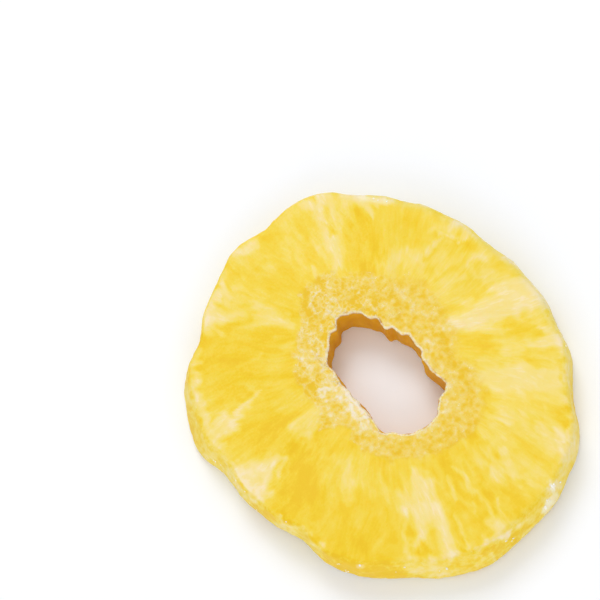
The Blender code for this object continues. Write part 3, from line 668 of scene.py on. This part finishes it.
def carve_slice(piece):
    """Gives the surface its fibres, crumbs and pits, and marks where each kind of flesh lies and where shade
    is painted.
    """
    mesh = piece.data
    points, normals = mesh_arrays(mesh)
    land = survey(points, normals)
    reach, softness, lacy = crust_reach(frayed_pixels(land["pixels"], CRUST_FRAYING))
    reach = np.where(land["shown"], reach, PIXELS_PER_MM * (UNDER_BAND_MM - land["from_hole"]))
    crust = smooth(-softness, softness, reach)
    curls = curled(frayed_pixels(land["pixels"], CURL_FRAYING)) * land["shown"] * (1.0 - land["bore"])
    lumpy = painted(land["pixels"], CRUST_LUMPS)
    lip = (1.0 - smooth(0.25, 0.6, np.abs(land["from_lip"]))) * (1.0 - smooth(0.3, 0.7, land["drop"]))

    # How crumbly the band is, for its colour: net, border, grains, curls, the lip and lumps
    lace = ridges(points, 1.5 * MM, 4.0, 1) * smooth(-0.35, 0.25, lumps(points, 3.5 * MM, 3))
    grain = granules(points, 0.80 * MM)
    border = np.clip(1.0 - np.abs(reach - 1.5) / 2.2, 0.0, 1.0)
    border = border * smooth(-0.1, 0.3, lumps(points, 4.0 * MM, 6))
    by_lip = 1.0 - smooth(0.5, 3.0, land["from_lip"])
    crumb = 0.16 + lacy * (0.10 * lace + 0.16 * border - 0.09) + (0.10 + 0.14 * lacy) * grain
    crumb = crumb + 0.40 * curls + 0.20 * by_lip + lumpy * (0.66 + 0.6 * lumps(points, 1.4 * MM, 8))
    crumb = crumb + 0.40 * lumps(points, 2.2 * MM, 7) + 0.42 * lumps(points, 0.9 * MM, 15)
    lumpy = np.maximum(lumpy, 0.0)
    lacy = lacy * (1.0 - np.minimum(1.4 * lumpy, 0.8))

    # The relief in millimetres: fibres on the flesh, crumbs on the band, a lumpy wall and a raised lip
    rounds = land["paths"] * np.array((1.0, 1.0, 0.13))
    fibres = lumps(rounds, 1.1, 0) + 0.5 * lumps(rounds, 0.55, 1)
    wall_bumps = lumps(points, 1.9 * MM, 11) + 0.5 * lumps(points, 0.8 * MM, 12)
    flesh_height = 0.035 * fibres * (1.0 - land["wall"]) * (1.0 - land["bore"])
    crust_height = (0.08 * lace + 0.10 * grain + 0.10 * border + 0.5 * lumpy) * (1.0 - 0.8 * land["bore"])
    crust_height = crust_height + 0.30 * lumpy * lumps(points, 1.6 * MM, 13) + 0.16 * curls
    lip_height = lip * (0.10 + 0.25 * lumps(points, 0.7 * MM, 14))
    height = flesh_height * (1.0 - crust) + crust_height * crust
    height = height + 0.14 * land["wall"] * wall_bumps + lip_height
    points = points + normals * (height * MM)[:, None]
    points[:, 2] = np.maximum(points[:, 2], 0.0)
    mesh.vertices.foreach_set("co", points.ravel())
    mesh.update()

    bloom = painted(frayed_pixels(land["pixels"], CURL_FRAYING), SUGAR_BLOOM)
    fields = {
        "dryness_and_light": dryness_and_light(points, land),
        "crust": crust,
        "crumb": crumb,
        "lip": lip,
        "lacy": lacy,
        "bloom": np.minimum(bloom, 1.0) * land["shown"],
        "bore": land["bore"],
        # Painted shade: a darker band on the wall of the hole just under its lip
        "bore_lip_shade": smooth(0.1, 0.3, land["drop"]) * (1.0 - smooth(0.4, 0.8, land["drop"])),
        "wall": land["wall"],
        # Painted shade: a greyer strip along the rim's edge on one side, where the edge rounds over
        "rim_edge_shade": land["tanned"] * (1.0 - smooth(0.8, 3.4, land["from_rim"])),
    }
    for name, values in fields.items():
        mesh.attributes.new(name, "FLOAT", "POINT").data.foreach_set("value", values.astype(np.float32))
    paths = mesh.attributes.new("fibre_path", "FLOAT_VECTOR", "POINT")
    paths.data.foreach_set("vector", land["paths"].astype(np.float32).ravel())
    return {**fields, "lumpy": lumpy, "from_rim": land["from_rim"]}


def candied_flesh():
    """Candied pineapple: satin yellow flesh with pale dry fibres and a crumbly sugary band."""
    finish = {
        "IOR": 1.45,
        "Specular IOR Level": 0.25,
        "Subsurface Weight": 0.15,
        "Subsurface Radius": (1.0, 0.55, 0.15),
        "Subsurface Scale": 1.0 * MM,
    }
    material, tree, shader = new_material("candied_pineapple_flesh", finish)
    mark = {
        name: put(tree, "ShaderNodeAttribute", {"attribute_name": name}, out="Fac")
        for name in ("dryness_and_light", "crust", "crumb", "lip", "lacy", "bloom", "bore", "bore_lip_shade", "wall", "rim_edge_shade")
    }
    path = put(tree, "ShaderNodeAttribute", {"attribute_name": "fibre_path"}, out="Vector")
    place = put(tree, "ShaderNodeTexCoord", out="Object")
    place = put(tree, "ShaderNodeMapping", {"Scale": (1000.0, 1000.0, 1000.0)}, {0: place})

    # Fibres are 0.7 mm and 2.0 mm apart and run for about 3.5 and 8 mm, over clouds of 4.5 mm, and the
    # outer wall is mottled by the ends of bundles, 1 mm across
    thin = put(tree, "ShaderNodeMapping", {"Scale": (1 / 0.7, 1 / 0.7, 1 / 3.5)}, {0: path})
    thin = put(tree, "ShaderNodeTexNoise", {"Scale": 1.0, "Detail": 2.0, "Roughness": 0.5}, {0: thin})
    wide = put(tree, "ShaderNodeMapping", {"Scale": (1 / 2.0, 1 / 2.0, 1 / 8.0)}, {0: path})
    wide = put(tree, "ShaderNodeTexNoise", {"Scale": 1.0, "Detail": 4.0, "Roughness": 0.6}, {0: wide})
    cloud = put(tree, "ShaderNodeTexNoise", {"Scale": 1 / 4.5, "Detail": 6.0, "Roughness": 0.6}, {0: place})
    specks = put(tree, "ShaderNodeTexNoise", {"Scale": 1 / 0.42, "Detail": 2.0}, {0: place})
    specks = put(tree, "ShaderNodeMath", {"operation": "SUBTRACT", 1: 0.5}, {0: specks})
    ends = put(tree, "ShaderNodeTexNoise", {"Scale": 1.0, "Detail": 4.0, "Roughness": 0.65}, {0: place})
    ends = put(tree, "ShaderNodeMath", {"operation": "SUBTRACT", 1: 0.5}, {0: ends})
    ends = put(tree, "ShaderNodeMath", {"operation": "MULTIPLY"}, {0: ends, 1: mark["wall"]})

    # One scale from wet gold to dry cream, shaken by fibres and clouds, less so where it is pale, and by
    # specks, more so by the lacy side of the band
    level = put(tree, "ShaderNodeMath", {"operation": "MULTIPLY", 1: 1.1}, {0: ends})
    for source, share in ((thin, 0.20), (wide, 0.60), (cloud, 0.60)):
        centred = put(tree, "ShaderNodeMath", {"operation": "SUBTRACT", 1: 0.5}, {0: source})
        level = put(tree, "ShaderNodeMath", {"operation": "MULTIPLY_ADD", 1: share}, {0: centred, 2: level})
    level = put(tree, "ShaderNodeMath", {"operation": "MULTIPLY_ADD", 1: 0.08}, {0: specks, 2: level})
    sand = put(tree, "ShaderNodeMath", {"operation": "MULTIPLY", 1: 0.16}, {0: mark["lacy"]})
    level = put(tree, "ShaderNodeMath", {"operation": "MULTIPLY_ADD"}, {0: specks, 1: sand, 2: level})
    lively = put(
        tree,
        "ShaderNodeMapRange",
        {"From Min": 0.15, "From Max": 0.80, "To Min": 1.50, "To Max": 0.38},
        {"Value": mark["dryness_and_light"]},
    )
    shaken = {0: level, 1: lively, 2: mark["dryness_and_light"]}
    level = put(tree, "ShaderNodeMath", {"operation": "MULTIPLY_ADD"}, shaken)
    # Crisp dry flecks lie in the paler flesh, 0.6 mm wide and 2.5 mm long
    flecks = put(tree, "ShaderNodeMapping", {"Scale": (1 / 0.6, 1 / 0.6, 1 / 2.5)}, {0: path})
    flecks = put(tree, "ShaderNodeTexNoise", {"Scale": 1.0, "Detail": 3.0}, {0: flecks})
    flecks = put(tree, "ShaderNodeMapRange", {"From Min": 0.52, "From Max": 0.64}, {"Value": flecks})
    flecks = put(tree, "ShaderNodeMath", {"operation": "MULTIPLY"}, {0: flecks, 1: mark["dryness_and_light"]})
    level = put(tree, "ShaderNodeMath", {"operation": "MULTIPLY_ADD", 1: 0.15}, {0: flecks, 2: level})
    flesh = put(
        tree,
        "ShaderNodeValToRGB",
        links={"Fac": level},
        stops=(
            (0.00, "#eac21c"),
            (1.00, "#f3e1b4"),
            (0.20, "#edca2a"),
            (0.40, "#eed147"),
            (0.56, "#efd663"),
            (0.80, "#f0db90"),
        ),
    )

    # The band's crumbs follow the carved relief, with a net of dried syrup between bubbles 0.9 mm across,
    # and thin lines of it that wind 1.9 mm apart, where a noise passes through its middle
    crumb = mark["crumb"]
    crumbs = put(tree, "ShaderNodeMath", {"operation": "MULTIPLY_ADD", 1: 0.60}, {0: specks, 2: crumb})
    wander = put(tree, "ShaderNodeTexNoise", {"Scale": 1 / 1.2, "Detail": 2.0}, {0: place}, out="Color")
    bent = {"operation": "MULTIPLY_ADD", 1: (0.9, 0.9, 0.9)}
    wander = put(tree, "ShaderNodeVectorMath", bent, {0: wander, 2: place})
    edges = {"feature": "DISTANCE_TO_EDGE", "Scale": 1 / 0.9}
    net = put(tree, "ShaderNodeTexVoronoi", edges, {0: wander}, out="Distance")
    net = put(tree, "ShaderNodeMapRange", {"From Max": 0.22, "To Min": 1.0, "To Max": 0.0}, {"Value": net})
    line = put(tree, "ShaderNodeTexNoise", {"Scale": 1 / 1.9, "Detail": 2.5}, {0: place})
    line = put(tree, "ShaderNodeMath", {"operation": "SUBTRACT", 1: 0.5}, {0: line})
    line = put(tree, "ShaderNodeMath", {"operation": "ABSOLUTE"}, {0: line})
    line = put(tree, "ShaderNodeMapRange", {"From Max": 0.045, "To Min": 1.0, "To Max": 0.0}, {"Value": line})
    for source, share in ((net, 0.60), (line, 0.34)):
        source = put(tree, "ShaderNodeMath", {"operation": "MULTIPLY"}, {0: source, 1: mark["lacy"]})
        source = put(tree, "ShaderNodeMath", {"operation": "MULTIPLY"}, {0: source, 1: cloud})
        crumbs = put(tree, "ShaderNodeMath", {"operation": "MULTIPLY_ADD", 1: share}, {0: source, 2: crumbs})
    band = put(
        tree,
        "ShaderNodeValToRGB",
        links={"Fac": crumbs},
        stops=(
            (0.00, "#e8c02e"),
            (1.00, "#efe4ca"),
            (0.25, "#ebcb56"),
            (0.45, "#ecd170"),
            (0.70, "#eeda9b"),
        ),
    )
    surface = put(tree, "ShaderNodeMix", {"data_type": "RGBA"}, {0: mark["crust"], 6: flesh, 7: band}, out=2)

    # The wall of the hole is clear amber, painted deeper as painted shade inside the hole, with a darker band
    # of painted shade just under its lip
    amber_in_shade = ((0.35, "#d49308"), (0.65, "#e0a618"))
    amber = put(tree, "ShaderNodeValToRGB", links={"Fac": cloud}, stops=amber_in_shade)
    shaded = {"data_type": "RGBA", 7: colour("#b06c0a")}
    amber = put(tree, "ShaderNodeMix", shaded, {0: mark["bore_lip_shade"], 6: amber}, out=2)
    layers = {0: mark["bore"], 6: surface, 7: amber}
    surface = put(tree, "ShaderNodeMix", {"data_type": "RGBA"}, layers, out=2)
    # A pale crumbly lip, painted shade as a greyer strip along the rim's edge on one side, where the edge
    # rounds over, and a white bloom of fine sugar by the grains on the rim
    for name, blend, tint in (
        ("lip", "MIX", "#f4ebcb"),
        ("rim_edge_shade", "MULTIPLY", "#f4f8ff"),
        ("bloom", "MIX", "#f3efda"),
    ):
        coat = {"data_type": "RGBA", "blend_type": blend, 7: colour(tint)}
        surface = put(tree, "ShaderNodeMix", coat, {0: mark[name], 6: surface}, out=2)
    tree.links.new(surface, shader.inputs["Base Color"])

    # Faint strands on the flesh and sharp crumbs on the band, which is also the rougher of the two
    strands = put(tree, "ShaderNodeMath", {"operation": "MULTIPLY", 1: 0.3}, {0: thin})
    relief = put(tree, "ShaderNodeMix", {"data_type": "FLOAT"}, {0: mark["crust"], 2: strands, 3: crumbs})
    bump = put(tree, "ShaderNodeBump", {"Strength": 0.5, "Distance": 0.12 * MM}, {"Height": relief})
    tree.links.new(bump, shader.inputs["Normal"])
    rough = put(tree, "ShaderNodeMapRange", {"To Min": 0.45, "To Max": 0.70}, {"Value": mark["crust"]})
    tree.links.new(rough, shader.inputs["Roughness"])
    return material


def grain_material(name, pitch, detail, stops, finish):
    """A material for small grains, whose colour differs from one to the next over lumps of that pitch."""
    material, tree, shader = new_material(name, finish)
    place = put(tree, "ShaderNodeTexCoord", out="Object")
    tone = put(tree, "ShaderNodeTexNoise", {"Scale": 1 / pitch, "Detail": detail}, {"Vector": place})
    tone = put(tree, "ShaderNodeValToRGB", links={"Fac": tone}, stops=stops)
    tree.links.new(tone, shader.inputs["Base Color"])
    return material


def dried_syrup():
    """Crumbs of dried syrup: dull cream to gold, a little translucent."""
    finish = {
        "Roughness": 0.55,
        "IOR": 1.49,
        "Subsurface Weight": 0.15,
        "Subsurface Radius": (1.0, 0.9, 0.7),
        "Subsurface Scale": 0.05 * MM,
    }
    stops = ((0.30, "#efd064"), (0.70, "#f9ebb4"), (0.50, "#f4dd84"))
    return grain_material("dried_syrup_crumbs", 0.9 * MM, 2.0, stops, finish)


def refined_sugar():
    """Refined sugar grains: clear crystals that look white and glint on their faces."""
    finish = {
        "Roughness": 0.25,
        "IOR": 1.54,
        "Subsurface Weight": 0.2,
        "Subsurface Radius": (1.0, 1.0, 1.0),
        "Subsurface Scale": 0.05 * MM,
    }
    stops = ((0.35, "#f6efd6"), (0.65, "#fdfcf8"))
    return grain_material("refined_sugar_crystal", 1.2 * MM, 1.0, stops, finish)


def crumb_shape(seed):
    """A knobbly crumb one unit long, with 20 faces."""
    bpy.ops.object.select_all(action="DESELECT")
    bpy.ops.mesh.primitive_ico_sphere_add(subdivisions=1, radius=0.5)
    bpy.ops.object.mode_set(mode="EDIT")
    bpy.ops.transform.resize(value=(1.0, 0.8, 0.65))
    bpy.ops.transform.vertex_random(offset=0.13, seed=seed)
    bpy.ops.object.mode_set(mode="OBJECT")
    return take_shape()


def crystal_shape(length, width):
    """A sugar crystal one unit wide at most: a slanting block with its edges taken off."""
    bpy.ops.object.select_all(action="DESELECT")
    bpy.ops.mesh.primitive_cube_add(size=1.0)
    bpy.ops.object.mode_set(mode="EDIT")
    bpy.ops.transform.resize(value=(length, width, 0.6))
    bpy.ops.mesh.bevel(offset=0.12, segments=1, affect="EDGES")
    bpy.ops.object.mode_set(mode="OBJECT")
    return take_shape()


def take_shape():
    """The active object's points and triangles, and the object gone."""
    model = bpy.context.active_object
    bpy.ops.object.mode_set(mode="EDIT")
    bpy.ops.mesh.select_all(action="SELECT")
    bpy.ops.mesh.quads_convert_to_tris()
    bpy.ops.object.mode_set(mode="OBJECT")
    points = np.array([vertex.co for vertex in model.data.vertices])
    faces = np.array([face.vertices for face in model.data.polygons])
    bpy.data.objects.remove(model)
    return points, faces


def scatter(name, shapes, places, normals, sizes, sunk, draw):
    """One joined mesh of shapes, each turned at random and sunk by a share of its size."""
    all_points = []
    all_faces = []
    count = 0
    for place, normal, size in zip(places, normals, sizes):
        points, faces = shapes[draw.integers(len(shapes))]
        lie = Vector(normal).to_track_quat("Z", "Y").to_matrix()
        spin = Matrix.Rotation(draw.uniform(0, 2 * math.pi), 3, "Z")
        tilt = Matrix.Rotation(draw.normal(0, TILT), 3, "X")
        turned = points @ np.array(lie @ spin @ tilt).T * size
        all_points.append(turned + place + normal * size * (HALF_THICK - sunk))
        all_faces.append(faces + count)
        count += len(points)
    mesh = bpy.data.meshes.new(name)
    mesh.from_pydata(np.concatenate(all_points).tolist(), [], np.concatenate(all_faces).tolist())
    piece = bpy.data.objects.new(name, mesh)
    bpy.context.scene.collection.objects.link(piece)
    return piece


def pick(weights, count, draw):
    """Numbers of the points that a weighted draw picks."""
    return draw.choice(len(weights), size=count, replace=False, p=weights / weights.sum())


def point_areas(mesh):
    """How much of the surface each point stands for."""
    areas = np.zeros(len(mesh.vertices))
    for face in mesh.polygons:
        for at in face.vertices:
            areas[at] += face.area / len(face.vertices)
    return areas


def strew_crumbs(slice_piece, fields):
    """Crumbs of dried syrup on the ridges of the band and along the lip of the hole."""
    points, normals = mesh_arrays(slice_piece.data)
    areas = point_areas(slice_piece.data)
    draw = np.random.default_rng(11)
    on_band = areas * fields["crust"] * (1.0 - fields["bore"])
    on_band = on_band * np.clip(fields["crumb"] - 0.25, 0.0, 1.0) ** 1.5
    on_band = on_band * (normals[:, 2] > 0.2) * (0.3 + fields["lacy"]) * (fields["lumpy"] < 0.15)
    on_lip = areas * fields["lip"] * (normals[:, 2] > 0.1) * (fields["lumpy"] < 0.15)
    chosen = np.concatenate([pick(on_band, CRUST_CRUMBS, draw), pick(on_lip, LIP_CRUMBS, draw)])
    sizes = draw.uniform(*CRUMB_SIZES_MM, len(chosen)) * MM
    shapes = [crumb_shape(seed) for seed in range(4)]
    piece = scatter("syrup_crumbs", shapes, points[chosen], normals[chosen], sizes, CRUMB_SUNK, draw)
    make_active(piece)
    bpy.ops.object.shade_smooth()
    piece.data.materials.append(dried_syrup())
    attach(piece, "root")


def strew_sugar(slice_piece, fields):
    """Grains of sugar in small clusters on the rim, and single ones all round its wall."""
    points, normals = mesh_arrays(slice_piece.data)
    areas = point_areas(slice_piece.data)
    draw = np.random.default_rng(5)
    back = np.array(camera_axes()[2])
    pixels = picture_points(points)
    facing = normals @ back > 0.15
    chosen = []
    for x, y, spread, grains in SUGAR_CLUSTERS:
        for _ in range(grains):
            spot = np.array((x, y)) + draw.normal(0, 0.6 * spread, 2)
            gap = np.linalg.norm(pixels - spot, axis=1) + np.where(facing, 0.0, 1000.0)
            chosen.append(int(np.argmin(gap)))
    clustered = smooth(0.1, 0.5, lumps(points, 5.0 * MM, 21))
    on_rim = areas * clustered * (fields["from_rim"] < 4.0) * (np.abs(normals[:, 2]) < 0.6)
    chosen = np.concatenate([chosen, pick(on_rim, RIM_GRAINS, draw)])
    sizes = draw.uniform(*GRAIN_SIZES_MM, len(chosen)) * MM
    sizes[-RIM_GRAINS:] *= RIM_GRAIN_SHARE
    shapes = [crystal_shape(1.0, 0.7), crystal_shape(0.8, 0.8), crystal_shape(1.0, 0.5)]
    piece = scatter("sugar_grains", shapes, points[chosen], normals[chosen], sizes, GRAIN_SUNK, draw)
    piece.data.materials.append(refined_sugar())
    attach(piece, "root")


def lay_slice():
    """The slice, carved and coloured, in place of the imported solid."""
    piece = slice_mesh()
    fields = carve_slice(piece)
    piece.data.materials.clear()
    piece.data.materials.append(candied_flesh())
    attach(piece, "root")
    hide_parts("pineapple_ring")
    return piece, fields


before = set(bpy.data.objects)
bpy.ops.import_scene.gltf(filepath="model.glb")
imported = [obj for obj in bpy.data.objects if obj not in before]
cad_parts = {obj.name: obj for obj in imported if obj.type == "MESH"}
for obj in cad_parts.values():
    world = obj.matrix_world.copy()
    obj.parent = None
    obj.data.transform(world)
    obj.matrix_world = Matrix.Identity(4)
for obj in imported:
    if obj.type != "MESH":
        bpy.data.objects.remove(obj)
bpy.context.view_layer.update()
stand_camera()
light_studio()
lay_floor()
slice_piece, slice_fields = lay_slice()
strew_crumbs(slice_piece, slice_fields)
strew_sugar(slice_piece, slice_fields)
